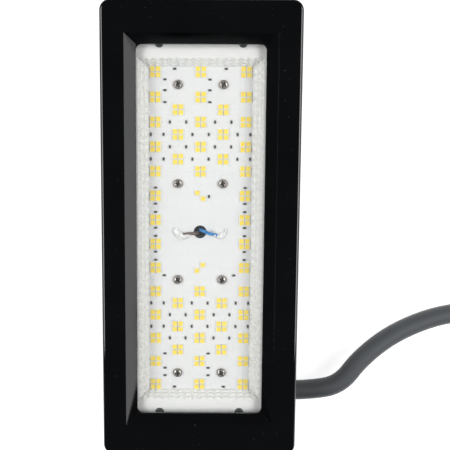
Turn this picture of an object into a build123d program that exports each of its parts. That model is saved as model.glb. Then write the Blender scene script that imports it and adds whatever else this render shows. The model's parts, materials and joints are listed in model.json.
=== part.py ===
from build123d import *
import math
import os

# LED grow light with a glazed light window, lying on its back with the light facing up.
# Millimetres. +X is across the lamp, +Y along it, +Z out of the light window.
# The origin is on the surface it lies on, under the middle of the lamp.

# ---- driving dimensions -------------------------------------------------------------
FRAME_W = 110.0            # front frame, outside width and length
FRAME_L = 254.4
DEPTH = 54.0               # back of the fins to the face of the front frame
FRAME_R = 6.0              # corner radius of the front frame
FRAME_EDGE = 1.8           # rounding of the frame's front edge
FRAME_WALL = 2.6
SKIRT = 15.0               # how far the frame's side wall reaches down from its face
BORDER_X = 13.2            # flat border of the frame at the sides and at the ends
BORDER_Y = 17.9
BEVEL_X = 6.0              # sloping rim inside it
BEVEL_Y = 4.9
BEVEL_DEPTH = 6.0          # how far the window edge lies below the face
WINDOW_R = 3.2
LIP = 1.4                  # thickness of the frame over the glass

GLASS_T = 3.0
GLASS_LAP_X = 8.6          # how far the glass seat reaches past the window, each side
GLASS_LAP_Y = 7.2
GLASS_PLAY = 0.3
GASKET_T = 0.4
GASKET_W = 1.2             # width of the soft ring that the glass lies on

TRAY_WALL = 3.0            # wall of the tray, glass seat included
TRAY_RIM = 1.3             # what is left of the wall beside the glass
TRAY_R = 5.0
TRAY_FLOOR_T = 3.0
BOARD_DEPTH = 18.0         # face of the frame to the top of the LED board

REFLECTOR_IN_X = 0.4       # window edge to the top opening of the reflector
REFLECTOR_IN_Y = 6.3
REFLECTOR_SLOPE_X = 6.0    # how far its walls lean in
REFLECTOR_SLOPE_Y = 3.9
REFLECTOR_WALL = 1.6
FLANGE_T = 2.0
FLANGE_PLAY = 0.4

BOARD_LAP_X = 2.1          # how far the board reaches under the reflector
BOARD_LAP_Y = 2.3
BOARD_T = 1.6
PAD_T = 0.4
PAD_MARGIN = 0.5
WIRE_HOLE_R = 3.8
GROMMET_R = 4.0
GROMMET_WALL = 1.2
GROMMET_FIT = 0.02

GRID_ROWS = 26             # rows are numbered 0 to 26 from the +Y end
LED_EDGE_X = 3.6           # outermost LED groups to the reflector's foot
LED_EDGE_Y = 3.2
LED_SIDE = 3.0
LED_PITCH = 3.35
LED_H = 0.65
CHIP_L = 2.2
CHIP_W = 1.2
CHIP_H = 0.5
CHIP_BESIDE = 4.65         # chip resistor beside a group or a free place of the grid
CHIP_OUTSIDE = 2.6         # the same, towards the board's edge
CHIP_BELOW = 4.62          # chip resistor past the end of a group

M3_R = 1.5
M3_HEAD_R = 2.75
M3_HEAD_H = 2.0
THREAD_PLAY = 0.05
HOLE_PLAY = 0.2
REFLECTOR_SCREW_IN = 12.5  # screw axis to the side of the window
REFLECTOR_SCREW_OUT = 1.6  # screw axis past the end of the window
REFLECTOR_HEAD_R = 2.5
REFLECTOR_HEAD_H = 1.3
REFLECTOR_HEAD_SINK = 1.2
POST_R = 3.4

LUG_COUNT = 4              # screw lugs on each long side of the tray
LUG_FROM_END = 19.9
LUG_L = 12.0
LUG_T = 5.0
LUG_PLAY = 0.8             # lug to the inside of the frame's wall
LUG_SCREW_IN = 2.8         # screw axis to the end of the lug
FRAME_HOLE_DEPTH = 5.2

SINK_PLATE_T = 2.0         # plate of the heat sink, against the tray's floor
SINK_IN = 2.7              # side of the tray to the side of the heat sink
FIN_T = 2.0
FIN_PITCH = 7.0

BOX_W = 60.0               # driver compartment
BOX_WALL = 3.0
BOX_END_WALL = 2.5
BOX_SPARE = 22.0           # room for the wires past the end of the driver board
COVER_T = 3.0
COVER_POST_R = 3.0
COVER_POST_IN = 0.6        # how far a post grows into the wall beside it
COVER_SCREW_L = 10.0
COVER_HEAD_R = 2.9
COVER_HEAD_H = 1.6

PIVOT_DROP = 9.0           # floor of the casting to the pivot axis
PIVOT_BOSS_R = 12.0
PIVOT_BOSS_L = 12.5
PIVOT_BOSS_OUT = 3.6       # end of the tray to the outer face of the boss
PIVOT_R = 4.0              # M8 bolt
PIVOT_RUN = 0.06           # radial clearance of the yoke on its bolts
PIVOT_SINK = 10.0          # thread engaged in the boss
WASHER_R = 8.0
WASHER_T = 0.7
SPRING_T = 1.3
SIDE_PLAY = 0.1
BOLT_HEAD_AF = 13.0
BOLT_HEAD_H = 5.0

YOKE_T = 3.0
YOKE_W = 25.0
YOKE_PLAY = 0.1            # how far the folded yoke stays out of the frame's inner line
YOKE_BEND_R = 5.0
YOKE_HOLE_R = 4.25
YOKE_HOLE_SPACING = 80.0
YOKE_CENTRE_R = 5.25

GLAND_FROM_END = 14.6
GLAND_R = 10.0             # M20 thread
GLAND_AF = 24.0
GLAND_RING_T = 1.5
GLAND_HEX_L = 6.5
GLAND_OUT = 27.0           # compartment wall to the end of the dome nut
GLAND_NUT_GAP = 0.6
GLAND_GRIP = 11.0          # length of the hexagon on the dome nut
GLAND_BORE = 8.2
GLAND_BOSS_WALL = 2.6

CORD_D = 12.0
RUN_SHARE = 0.45           # part of the shorter run that a bend may take
CORD_STUB_IN = 11.0        # compartment wall to the end of the sheath inside
CORE_R = 1.3
CORE_PITCH = 3.2
LEAD_R = 0.95

TERMINAL_L = 21.0
TERMINAL_W = 9.0
TERMINAL_H = 10.0
TERMINAL_PITCH = 7.0
DRIVER_W = 41.0
DRIVER_L = 80.0
DRIVER_T = 1.6
DRIVER_FROM_GLAND = 11.9
PILLAR_H = 5.0
PILLAR_R = 2.4
PILLAR_IN = 4.0

COIL_X = 290.0             # centre of the stored coil
COIL_Y = 8.0
COIL_R = 66.0              # middle of its turns

PLUG_Z = 19.2
PLUG_Y = COIL_Y + 102.2
PLUG_START_X = COIL_X - 27.5
BOOT_L = 32.0
BOOT_R = 9.5
PLUG_L = 38.0
PLUG_GRIP_L = 16.0
PLUG_R = 18.5
PIN_R = 2.4
PIN_L = 19.0
PIN_SPACING = 19.0
PIN_SINK = 12.0

# ---- sizes and levels worked out from them ------------------------------------------
WINDOW_W = FRAME_W - 2 * (BORDER_X + BEVEL_X)
WINDOW_L = FRAME_L - 2 * (BORDER_Y + BEVEL_Y)
WINDOW_Z = DEPTH - BEVEL_DEPTH
RIM_Z = WINDOW_Z - LIP
GLASS_TOP = RIM_Z - GASKET_T
GLASS_Z = GLASS_TOP - GLASS_T
SEAT_Z = GLASS_Z - GASKET_T
BOARD_TOP = DEPTH - BOARD_DEPTH
BOARD_Z = BOARD_TOP - BOARD_T
FLOOR_TOP = BOARD_Z - PAD_T
TRAY_Z = FLOOR_TOP - TRAY_FLOOR_T
FLOOR_Z = TRAY_Z - SINK_PLATE_T
FLANGE_TOP = SEAT_Z
FLANGE_Z = FLANGE_TOP - FLANGE_T
GLASS_W = WINDOW_W + 2 * (GLASS_LAP_X - GLASS_PLAY)
GLASS_L = WINDOW_L + 2 * (GLASS_LAP_Y - GLASS_PLAY)
TRAY_W = GLASS_W + 2 * (GLASS_PLAY + TRAY_RIM)
TRAY_L = GLASS_L + 2 * (GLASS_PLAY + TRAY_RIM)
TRAY_IN_W = TRAY_W - 2 * TRAY_WALL
TRAY_IN_L = TRAY_L - 2 * TRAY_WALL
REFLECTOR_TOP_W = WINDOW_W - 2 * REFLECTOR_IN_X
REFLECTOR_TOP_L = WINDOW_L - 2 * REFLECTOR_IN_Y
REFLECTOR_FOOT_W = REFLECTOR_TOP_W - 2 * REFLECTOR_SLOPE_X
REFLECTOR_FOOT_L = REFLECTOR_TOP_L - 2 * REFLECTOR_SLOPE_Y
REFLECTOR_SCREW_X = WINDOW_W / 2 - REFLECTOR_SCREW_IN
REFLECTOR_SCREW_Y = WINDOW_L / 2 + REFLECTOR_SCREW_OUT
BOARD_W = REFLECTOR_FOOT_W + 2 * BOARD_LAP_X
BOARD_L = REFLECTOR_FOOT_L + 2 * BOARD_LAP_Y
GRID_X = (REFLECTOR_FOOT_W / 2 - LED_EDGE_X) / 2       # half pitch of the LED groups
GRID_Y = (REFLECTOR_FOOT_L - 2 * LED_EDGE_Y) / GRID_ROWS
LUG_PITCH = (TRAY_L - 2 * LUG_FROM_END) / (LUG_COUNT - 1)
LUG_END_X = FRAME_W / 2 - FRAME_WALL - LUG_PLAY
LUG_SCREW_X = LUG_END_X - LUG_SCREW_IN
SINK_W = TRAY_W - 2 * SINK_IN
PIVOT_Z = FLOOR_Z - PIVOT_DROP
PIVOT_FACE_Y = TRAY_L / 2 + PIVOT_BOSS_OUT
PIVOT_BOSS_IN = PIVOT_FACE_Y - PIVOT_BOSS_L
ARM_Y = PIVOT_FACE_Y + WASHER_T + SIDE_PLAY
YOKE_REACH = FRAME_W / 2 - FRAME_WALL + YOKE_PLAY      # pivot axis to the outside of the base
BOX_MOUTH = COVER_T + GASKET_T
GLAND_Y = GLAND_FROM_END - PIVOT_FACE_Y
GLAND_Z = BOX_MOUTH + GLAND_AF / 2
GLAND_END_X = BOX_W / 2 + GLAND_OUT
CORD_STUB_X = BOX_W / 2 - CORD_STUB_IN
TERMINAL_Y = GLAND_Y + 4.7
DRIVER_Y = GLAND_Y + DRIVER_FROM_GLAND + DRIVER_L / 2
DRIVER_Z = FLOOR_Z - PILLAR_H - DRIVER_T
BOX_TOP_Y = DRIVER_Y + DRIVER_L / 2 + BOX_SPARE
BOX_MID_Y = (BOX_TOP_Y - PIVOT_FACE_Y) / 2
BOX_L = BOX_TOP_Y + PIVOT_FACE_Y
BOX_IN_L = BOX_L - BOX_WALL - BOX_END_WALL
BOX_IN_MID_Y = BOX_TOP_Y - BOX_WALL - BOX_IN_L / 2
FIN_GLAND_END = GLAND_Y + GLAND_AF / 2 + 7.9           # fins on the +X side clear the gland


def save(shape, name):
    export_step(shape, "parts/" + name + ".step")


def group(solids):
    return Compound(children=list(solids))


def slab(width, length, low, high, radius=0.0, x=0.0, y=0.0):
    """Upright block with rounded corners, centred on x, y."""
    outline = RectangleRounded(width, length, radius) if radius else Rectangle(width, length)
    return Pos(x, y, low) * extrude(outline, high - low)


def post(x, y, low, high, radius):
    return Pos(x, y, low) * extrude(Circle(radius), high - low)


def along_x(sketch, x, y, z, length):
    """Bar of a given section that starts at x and runs towards +X."""
    return Pos(x, y, z) * (Rot(0, 90, 0) * extrude(sketch, length))


def along_y(sketch, x, y, z, length):
    """Bar of a given section that starts at y and runs towards +Y."""
    return Pos(x, y, z) * (Rot(-90, 0, 0) * extrude(sketch, length))


def frustum(bottom, top, low, high):
    return loft([Pos(0, 0, low) * Rectangle(*bottom), Pos(0, 0, high) * Rectangle(*top)])


def cross_slots(radius, top, depth):
    """Cross recess of a screw head, as a cutter."""
    slot = slab(1.7 * radius * 0.75, 0.55, top - depth, top + 1)
    return slot + Rot(0, 0, 90) * slot


def pan_screw(radius, head_r, head_h, length):
    """Screw that points down, its head standing on z = 0."""
    head = fillet(post(0, 0, 0, head_h, head_r).edges().group_by(Axis.Z)[-1], head_h * 0.55)
    head -= cross_slots(head_r, head_h, head_h * 0.6)
    return head + post(0, 0, -length, 0, radius - THREAD_PLAY)


def hexagon(across_flats):
    return RegularPolygon(across_flats / 2, 6, major_radius=False, rotation=30)


def grid_y(row):
    return GRID_Y * (GRID_ROWS / 2 - row)


def lug_places():
    first = -(LUG_COUNT - 1) / 2
    return [(side, (first + i) * LUG_PITCH) for side in (-1, 1) for i in range(LUG_COUNT)]


def pillar_places():
    return [(x, DRIVER_Y + y) for x, y in four(DRIVER_W / 2 - PILLAR_IN, DRIVER_L / 2 - PILLAR_IN)]


def four(x, y):
    return [(sx * x, sy * y) for sx in (-1, 1) for sy in (-1, 1)]


def board_screw_places():
    return [(side * GRID_X, grid_y(row)) for side in (-1, 1) for row in (1, 9, 17, 25)]


def cover_screw_places():
    side_x = BOX_W / 2 - BOX_WALL - COVER_POST_R + COVER_POST_IN
    top_y = BOX_TOP_Y - BOX_WALL - COVER_POST_R + COVER_POST_IN - 0.2
    end_y = COVER_POST_R + BOX_END_WALL - COVER_POST_IN + 0.2 - PIVOT_FACE_Y
    places = [(PIVOT_BOSS_R + COVER_POST_R + 1, end_y), (side_x, DRIVER_Y), (side_x, top_y)]
    return [(side * x, y) for side in (-1, 1) for x, y in places]


# ---- front frame and window ---------------------------------------------------------
def front_frame():
    body = slab(FRAME_W, FRAME_L, DEPTH - SKIRT, DEPTH, FRAME_R)
    body = fillet(body.edges().group_by(Axis.Z)[-1], FRAME_EDGE)
    inner_r = FRAME_R - FRAME_WALL
    body -= slab(FRAME_W - 2 * FRAME_WALL, FRAME_L - 2 * FRAME_WALL, 0, RIM_Z, inner_r)
    recess = (WINDOW_W + 2 * BEVEL_X, WINDOW_L + 2 * BEVEL_Y)
    body -= frustum((WINDOW_W, WINDOW_L), recess, WINDOW_Z, DEPTH)
    body -= slab(WINDOW_W, WINDOW_L, RIM_Z - 1, WINDOW_Z + 0.01, WINDOW_R)
    for side, y in lug_places():
        body -= post(side * LUG_SCREW_X, y, RIM_Z - 1, RIM_Z + FRAME_HOLE_DEPTH, M3_R)
    return body


def glass():
    body = slab(GLASS_W, GLASS_L, GLASS_Z, GLASS_TOP, TRAY_R - TRAY_RIM)
    return chamfer(body.edges().group_by(Axis.Z)[-1], 0.3)


def glass_gasket():
    """Flat ring between the frame's lip and the glass."""
    ring = slab(GLASS_W, GLASS_L, GLASS_TOP, RIM_Z, TRAY_R - TRAY_RIM)
    return ring - slab(WINDOW_W + 2, WINDOW_L + 2, GLASS_TOP - 1, RIM_Z + 1, WINDOW_R + 1)


def glass_seat():
    """Flat ring between the glass and the ledge of the tray."""
    ring = slab(GLASS_W, GLASS_L, SEAT_Z, GLASS_Z, TRAY_R - TRAY_RIM)
    width = GLASS_W - 2 * GASKET_W
    length = GLASS_L - 2 * GASKET_W
    return ring - slab(width, length, SEAT_Z - 1, GLASS_Z + 1, TRAY_R - TRAY_RIM - GASKET_W)


# ---- reflector ----------------------------------------------------------------------
def reflector():
    body = slab(TRAY_IN_W - 2 * FLANGE_PLAY, TRAY_IN_L - 2 * FLANGE_PLAY,
                FLANGE_Z, FLANGE_TOP, TRAY_R - TRAY_WALL)
    height = FLANGE_TOP - BOARD_TOP
    share = (FLANGE_Z - BOARD_TOP) / height
    neck_w = REFLECTOR_FOOT_W + share * (REFLECTOR_TOP_W - REFLECTOR_FOOT_W)
    neck_l = REFLECTOR_FOOT_L + share * (REFLECTOR_TOP_L - REFLECTOR_FOOT_L)
    grow = 2 * REFLECTOR_WALL
    body += frustum((REFLECTOR_FOOT_W + grow, REFLECTOR_FOOT_L + grow),
                    (neck_w + 1.4 * grow, neck_l + 1.4 * grow), BOARD_TOP, FLANGE_Z)
    body -= frustum((REFLECTOR_FOOT_W, REFLECTOR_FOOT_L),
                    (REFLECTOR_TOP_W, REFLECTOR_TOP_L), BOARD_TOP, FLANGE_TOP)
    for x, y in four(REFLECTOR_SCREW_X, REFLECTOR_SCREW_Y):
        body -= post(x, y, FLANGE_Z - 1, FLANGE_TOP + 1, M3_R + HOLE_PLAY)
        body -= post(x, y, FLANGE_TOP - REFLECTOR_HEAD_SINK, FLANGE_TOP + 1,
                     REFLECTOR_HEAD_R + HOLE_PLAY)
    return body


def reflector_screws():
    screw = pan_screw(M3_R, REFLECTOR_HEAD_R, REFLECTOR_HEAD_H, 6.0)
    seat = FLANGE_TOP - REFLECTOR_HEAD_SINK
    return group(Pos(x, y, seat) * screw for x, y in four(REFLECTOR_SCREW_X, REFLECTOR_SCREW_Y))


# ---- LED board ----------------------------------------------------------------------
def led_board():
    body = slab(BOARD_W, BOARD_L, BOARD_Z, BOARD_TOP, 1.5)
    for x, y in board_screw_places():
        body -= post(x, y, BOARD_Z - 1, BOARD_TOP + 1, M3_R + HOLE_PLAY)
    return body - post(0, 0, BOARD_Z - 1, BOARD_TOP + 1, WIRE_HOLE_R)


def thermal_pad():
    margin = 2 * PAD_MARGIN
    body = slab(BOARD_W - margin, BOARD_L - margin, FLOOR_TOP, BOARD_Z, 1.5)
    for x, y in board_screw_places():
        body -= post(x, y, FLOOR_TOP - 1, BOARD_Z + 1, 2 * M3_R)
    return body - post(0, 0, FLOOR_TOP - 1, BOARD_Z + 1, WIRE_HOLE_R + 1)


def board_screws():
    screw = pan_screw(M3_R, M3_HEAD_R, M3_HEAD_H, BOARD_TOP - FLOOR_Z - 1.0)
    return group(Pos(x, y, BOARD_TOP) * screw for x, y in board_screw_places())


def led_group_places():
    """Column and row of every group of four packages."""
    wide = [(column, row) for row in (0, 2, 4, 6, 8, 18, 20, 22, 24, 26) for column in (-2, 0, 2)]
    narrow = [(column, row) for row in (3, 5, 7, 19, 21, 23) for column in (-1, 1)]
    sides = [(column, row) for row in (10, 12, 14, 16) for column in (-2, 2)]
    return wide + narrow + sides


def led_packages():
    half = LED_PITCH / 2
    chip = slab(LED_SIDE, LED_SIDE, BOARD_TOP, BOARD_TOP + LED_H)
    chips = [Pos(column * GRID_X + dx, grid_y(row) + dy, 0) * chip
             for column, row in led_group_places() for dx, dy in four(half, half)]
    for row, lean in ((10, -1), (16, 1)):
        for end in (-1, 1):
            chips.append(Pos(end * half, grid_y(row) + lean * end * half, 0) * chip)
    return group(chips)


def upright_chip_places():
    """Chip resistors that stand in pairs beside the free places of the grid."""
    places = [(column * GRID_X + side * CHIP_BESIDE, grid_y(row))
              for row in (4, 6, 20, 22) for column in (-1, 1) for side in (-1, 1)]
    edge = 2 * GRID_X
    return places + [(side * x, grid_y(row)) for row in (5, 7, 19, 21) for side in (-1, 1)
                     for x in (CHIP_BESIDE, edge - CHIP_BESIDE, edge + CHIP_OUTSIDE)]


def level_chip_places():
    """Chip resistors that lie across the board."""
    ends = [grid_y(row) + end * CHIP_BELOW for row in (10, 12, 14, 16) for end in (1, -1)]
    places = [(side * 2 * GRID_X, y) for side in (-1, 1) for y in ends[:-1]]
    places += [(column * GRID_X, grid_y(row)) for column in (-1.58, 0.40)
               for row in (0.6, 1.45, 2.4, 23.35, 24.6, 25.25)]
    places += [(column * GRID_X, grid_y(row)) for column in (-1.15, 1.11) for row in (-0.25, 26.25)]
    return places + [(column * GRID_X, grid_y(16.65)) for column in (-1.61, 1.54)]


def board_resistors():
    upright = slab(CHIP_W, CHIP_L, BOARD_TOP, BOARD_TOP + CHIP_H)
    level = slab(CHIP_L, CHIP_W, BOARD_TOP, BOARD_TOP + CHIP_H)
    chips = [Pos(x, y, 0) * upright for x, y in upright_chip_places()]
    chips += [Pos(x, y, 0) * level for x, y in level_chip_places()]
    chips.append(Pos(5.0, grid_y(10) - 0.4, 0) * upright)
    return group(chips)


def tube(points, radii, radius):
    """Round bar along straight runs joined by tangent arcs."""
    line = FilletPolyline(*points, radius=radii)
    return sweep(Plane(line @ 0, z_dir=line % 0) * Circle(radius), path=line)


def bent_radii(points, share):
    """Largest tangent arc that each corner's shorter run leaves room for."""
    radii = []
    for a, b, c in zip(points, points[1:], points[2:]):
        before, after = Vector(b) - Vector(a), Vector(c) - Vector(b)
        half_turn = math.radians(before.get_angle(after)) / 2
        radii.append(share * min(before.length, after.length) / math.tan(half_turn))
    return radii


def wire(side, drop_y):
    """Lead from one board terminal, over the edge of the wire hole and down to the driver."""
    top = BOARD_TOP + LEAD_R + 0.1
    low = DRIVER_Z + DRIVER_T + LEAD_R + 0.3
    points = [(side * 9.5, -1.2, top), (side * 6.0, -1.0, top + 0.5), (side * 1.6, drop_y, top + 0.2),
              (side * 1.3, drop_y, low), (side * 2.2, DRIVER_Y + DRIVER_L / 2 - 3, low)]
    return tube(points, bent_radii(points, 0.25), LEAD_R)


def silicone(side, lead):
    """Soft blob that seals the soldered end of a lead."""
    outline = Pos(side * 10.4, -1.4, BOARD_TOP) * Ellipse(5.9, 3.6)
    blob = extrude(outline, 2.1)
    blob = fillet(blob.edges().group_by(Axis.Z)[-1], 1.6)
    return blob - lead


def wire_grommet():
    body = post(0, 0, FLOOR_Z, FLOOR_TOP, GROMMET_R - GROMMET_FIT)
    body += post(0, 0, FLOOR_Z - 1.2, FLOOR_Z, GROMMET_R + 1.5)
    return body - post(0, 0, FLOOR_Z - 2, FLOOR_TOP + 1, GROMMET_R - GROMMET_WALL)


# ---- tray and heat sink -------------------------------------------------------------
def tray():
    """Open tray that carries the LED board, the reflector and the glass."""
    body = slab(TRAY_W, TRAY_L, TRAY_Z, RIM_Z, TRAY_R)
    body -= slab(TRAY_IN_W, TRAY_IN_L, FLOOR_TOP, RIM_Z + 1, TRAY_R - TRAY_WALL)
    pocket = (GLASS_W + 2 * GLASS_PLAY, GLASS_L + 2 * GLASS_PLAY)
    body -= slab(*pocket, SEAT_Z, RIM_Z + 1, TRAY_R - TRAY_RIM)
    lug_w = LUG_END_X - TRAY_W / 2 + 1
    for side, y in lug_places():
        body += slab(lug_w, LUG_L, RIM_Z - LUG_T, RIM_Z, 0, side * (LUG_END_X - lug_w / 2), y)
    for side, y in lug_places():
        body -= post(side * LUG_SCREW_X, y, RIM_Z - LUG_T - 1, RIM_Z + 1, M3_R + HOLE_PLAY)
    for x, y in four(REFLECTOR_SCREW_X, REFLECTOR_SCREW_Y):
        body += post(x, y, FLOOR_TOP, FLANGE_Z, POST_R)
        body -= post(x, y, FLOOR_TOP, FLANGE_Z + 1, M3_R)
    for x, y in board_screw_places():
        body -= post(x, y, TRAY_Z - 1, FLOOR_TOP + 1, M3_R + HOLE_PLAY)
    return body - post(0, 0, TRAY_Z - 1, FLOOR_TOP + 1, GROMMET_R)


def fins():
    """Cooling fins under the plate; the outer ones pass beside the compartment."""
    side_count = int((SINK_W - FIN_T) / 2 / FIN_PITCH)
    solids = []
    for i in range(-side_count, side_count + 1):
        x = i * FIN_PITCH
        start = BOX_TOP_Y - 1
        if abs(x) - FIN_T / 2 > BOX_W / 2:
            start = -PIVOT_BOSS_IN if x < 0 else FIN_GLAND_END
        length = PIVOT_BOSS_IN - start
        solids.append(slab(FIN_T, length, 0, FLOOR_Z + 1, 0, x, start + length / 2))
    return solids


def compartment():
    """Walls of the driver compartment, open at the back."""
    body = slab(BOX_W, BOX_L, BOX_MOUTH, FLOOR_Z + 1, 2.0, 0, BOX_MID_Y)
    body -= slab(BOX_W - 2 * BOX_WALL, BOX_IN_L, 0, FLOOR_Z, 0, 0, BOX_IN_MID_Y)
    for x, y in cover_screw_places():
        body += post(x, y, BOX_MOUTH, FLOOR_Z + 1, COVER_POST_R)
    for x, y in pillar_places():
        body += post(x, y, FLOOR_Z - PILLAR_H, FLOOR_Z + 1, PILLAR_R)
    inner = BOX_W / 2 - BOX_WALL - 3
    return body + along_x(Circle(GLAND_R + GLAND_BOSS_WALL), inner, GLAND_Y, GLAND_Z, BOX_WALL + 3)


def pivot_boss(end):
    start = PIVOT_BOSS_IN if end > 0 else -PIVOT_FACE_Y
    return along_y(Circle(PIVOT_BOSS_R), 0, start, PIVOT_Z, PIVOT_BOSS_L)


def heat_sink():
    """Casting behind the tray: plate, fins, driver compartment and the two pivot bosses."""
    body = slab(SINK_W, TRAY_L - 2, FLOOR_Z, TRAY_Z, TRAY_R) + compartment()
    for fin in fins():
        body += fin
    for end in (-1, 1):
        body += pivot_boss(end)
        start = PIVOT_FACE_Y - PIVOT_SINK if end > 0 else -PIVOT_FACE_Y - 1
        body -= along_y(Circle(PIVOT_R), 0, start, PIVOT_Z, PIVOT_SINK + 1)
    body -= slab(SINK_W, TRAY_L + 20, TRAY_Z, DEPTH)
    body -= slab(BOX_W + 1, BOX_L + 8, -1, BOX_MOUTH, 0, 0, BOX_TOP_Y - (BOX_L + 8) / 2)
    for x, y in board_screw_places():
        body -= post(x, y, FLOOR_Z + 0.5, TRAY_Z + 1, M3_R)
    for x, y in cover_screw_places():
        body -= post(x, y, 0, BOX_MOUTH + COVER_SCREW_L, M3_R)
    for x, y in pillar_places():
        body -= post(x, y, DRIVER_Z, FLOOR_Z, M3_R)
    body -= along_x(Circle(GLAND_R), 0, GLAND_Y, GLAND_Z, BOX_W / 2 + 1)
    return body - post(0, 0, FLOOR_Z - 1, TRAY_Z + 1, GROMMET_R)


def frame_screws():
    screw = Rot(180, 0, 0) * pan_screw(M3_R, M3_HEAD_R, M3_HEAD_H + 0.2, LUG_T + FRAME_HOLE_DEPTH - 0.5)
    return group(Pos(side * LUG_SCREW_X, y, RIM_Z - LUG_T) * screw for side, y in lug_places())


# ---- driver compartment -------------------------------------------------------------
def driver_cover():
    body = slab(BOX_W, BOX_L, 0, COVER_T, 2.0, 0, BOX_MID_Y)
    body = chamfer(body.edges().group_by(Axis.Z)[0], 0.6)
    for x, y in cover_screw_places():
        body -= post(x, y, -1, COVER_T + 1, M3_R + HOLE_PLAY)
        body -= Pos(x, y, COVER_HEAD_H / 2) * Cone(COVER_HEAD_R + 0.1, M3_R + 0.1, COVER_HEAD_H)
    return body


def cover_gasket():
    ring = slab(BOX_W, BOX_L, COVER_T, BOX_MOUTH, 2.0, 0, BOX_MID_Y)
    return ring - slab(BOX_W - 2 * BOX_WALL, BOX_IN_L, 0, DEPTH, 0, 0, BOX_IN_MID_Y)


def cover_screws():
    shank = post(0, 0, COVER_HEAD_H - 0.2, BOX_MOUTH + COVER_SCREW_L - 1, M3_R - THREAD_PLAY)
    screw = Pos(0, 0, COVER_HEAD_H / 2) * Cone(COVER_HEAD_R, M3_R - THREAD_PLAY, COVER_HEAD_H) + shank
    screw -= Rot(180, 0, 0) * cross_slots(COVER_HEAD_R, 0, 1.0)
    return group(Pos(x, y, 0) * screw for x, y in cover_screw_places())


def driver_board():
    body = slab(DRIVER_W, DRIVER_L, DRIVER_Z, DRIVER_Z + DRIVER_T, 1.0, 0, DRIVER_Y)
    for x, y in pillar_places():
        body -= post(x, y, 0, DEPTH, M3_R + HOLE_PLAY)
    return body


def driver_screws():
    screw = Rot(180, 0, 0) * pan_screw(M3_R, M3_HEAD_R, M3_HEAD_H, PILLAR_H + DRIVER_T - 1)
    return group(Pos(x, y, DRIVER_Z) * screw for x, y in pillar_places())


def driver_transformer():
    core = slab(22, 18, DRIVER_Z - 15, DRIVER_Z - 1.5, 0, 0, DRIVER_Y + 6)
    bobbin = slab(15, 25, DRIVER_Z - 13, DRIVER_Z, 1.5, 0, DRIVER_Y + 6)
    return core + bobbin


def driver_capacitors():
    """Two electrolytic cans that lie on the driver board."""
    can = fillet(along_x(Circle(5.5), -10, 0, 0, 20).edges(), 0.8)
    return group(Pos(0, DRIVER_Y + y, DRIVER_Z - 5.6) * can for y in (-14, -26))


def driver_choke():
    ring = Pos(-6.5, DRIVER_Y + 30, DRIVER_Z - 4) * Torus(5.5, 2.6)
    return ring + slab(13, 13, DRIVER_Z - 2, DRIVER_Z, 1.0, -6.5, DRIVER_Y + 30)


def driver_film_capacitor():
    body = slab(13, 6, DRIVER_Z - 11, DRIVER_Z, 0, 9, DRIVER_Y + 30)
    return fillet(body.edges().group_by(Axis.Z)[0], 0.8)


def terminal_block():
    body = slab(TERMINAL_L, TERMINAL_W, FLOOR_Z - TERMINAL_H, FLOOR_Z, 0, terminal_x(1), TERMINAL_Y + 1.7)
    for index in range(3):
        body -= post(terminal_x(index), TERMINAL_Y, 0, FLOOR_Z - 4, CORE_R + 0.4)
    return body


def terminal_x(index):
    return TERMINAL_PITCH * index - 11.5


def inner_core(index):
    """One insulated conductor from the sheath's end up into the terminal block."""
    start_y = GLAND_Y + (index - 1) * CORE_PITCH
    end_x = terminal_x(index)
    low = GLAND_Z - 7.9 + 4.0 * index
    points = [(CORD_STUB_X, start_y, GLAND_Z), (CORD_STUB_X - 4, start_y, GLAND_Z),
              (end_x, TERMINAL_Y, low), (end_x, TERMINAL_Y, FLOOR_Z - TERMINAL_H)]
    return tube(points, bent_radii(points, RUN_SHARE), CORE_R)


# ---- cable gland --------------------------------------------------------------------
def gland_ring():
    body = along_x(Circle(GLAND_R + 2), BOX_W / 2, GLAND_Y, GLAND_Z, GLAND_RING_T)
    return body - along_x(Circle(GLAND_R), BOX_W / 2 - 1, GLAND_Y, GLAND_Z, GLAND_RING_T + 2)


def gland_body():
    wall = BOX_W / 2
    hex_x = wall + GLAND_RING_T
    thread_l = BOX_WALL + 2.5 + GLAND_RING_T
    body = along_x(Circle(GLAND_R - THREAD_PLAY), hex_x - thread_l, GLAND_Y, GLAND_Z, thread_l)
    body += along_x(hexagon(GLAND_AF), hex_x, GLAND_Y, GLAND_Z, GLAND_HEX_L)
    body += along_x(Circle(GLAND_R), hex_x + GLAND_HEX_L, GLAND_Y, GLAND_Z, 8)
    return body - along_x(Circle(GLAND_BORE), 0, GLAND_Y, GLAND_Z, GLAND_END_X)


def gland_seal():
    start = BOX_W / 2 + GLAND_RING_T + GLAND_HEX_L - 2
    body = along_x(Circle(GLAND_BORE - THREAD_PLAY), start, GLAND_Y, GLAND_Z, 10)
    return body - along_x(Circle(CORD_D / 2), start - 1, GLAND_Y, GLAND_Z, 12)


def gland_nut():
    start = BOX_W / 2 + GLAND_RING_T + GLAND_HEX_L + GLAND_NUT_GAP
    body = along_x(hexagon(GLAND_AF), start, GLAND_Y, GLAND_Z, GLAND_GRIP)
    dome_l = GLAND_END_X - start - GLAND_GRIP
    dome = Cone(GLAND_AF / 2, CORD_D / 2 + 1.6, dome_l)
    body += Pos(GLAND_END_X - dome_l / 2, GLAND_Y, GLAND_Z) * (Rot(0, 90, 0) * dome)
    body -= along_x(Circle(GLAND_R + THREAD_PLAY), start - 1, GLAND_Y, GLAND_Z, GLAND_GRIP)
    return body - along_x(Circle(CORD_D / 2), start, GLAND_Y, GLAND_Z, GLAND_END_X)


def cord_inner():
    """End of the sheath, from the dome nut through the gland into the compartment."""
    return along_x(Circle(CORD_D / 2), CORD_STUB_X, GLAND_Y, GLAND_Z, GLAND_END_X - CORD_STUB_X)


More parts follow.
